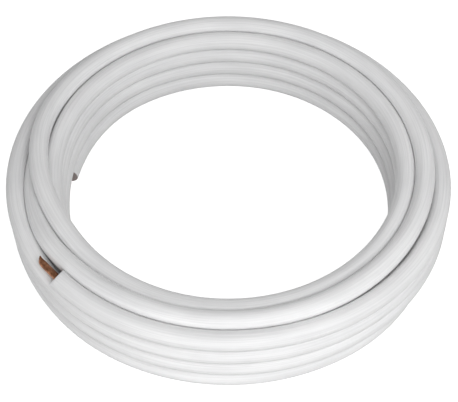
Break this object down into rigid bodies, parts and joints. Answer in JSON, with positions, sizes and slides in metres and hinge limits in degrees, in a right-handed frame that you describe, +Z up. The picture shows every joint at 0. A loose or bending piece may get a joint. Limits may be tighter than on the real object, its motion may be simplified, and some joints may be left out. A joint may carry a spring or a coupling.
{
  "type": "coil of foam-insulated copper tube",
  "caption": "Flat coil of soft copper refrigerant tube in a white foam sleeve, wound in nested layers around an open bore, with pinched bare copper ends.",
  "frame": {"origin": "on the coil's axis, on the floor that the coil lies on", "axes": "+Z up along the coil's axis, -Y towards the viewer of the picture, +X to the right"},
  "size_m": [0.6346, 0.6345, 0.1172],
  "materials": {
    "white_foam": "white closed-cell foam with a thin satin skin drawn lengthwise",
    "copper": "soft copper, dulled and darkened by handling"
  },
  "bodies": {
    "root": {"foam_sleeve": "white_foam", "copper_tube": "copper"}
  },
  "joints": []
}
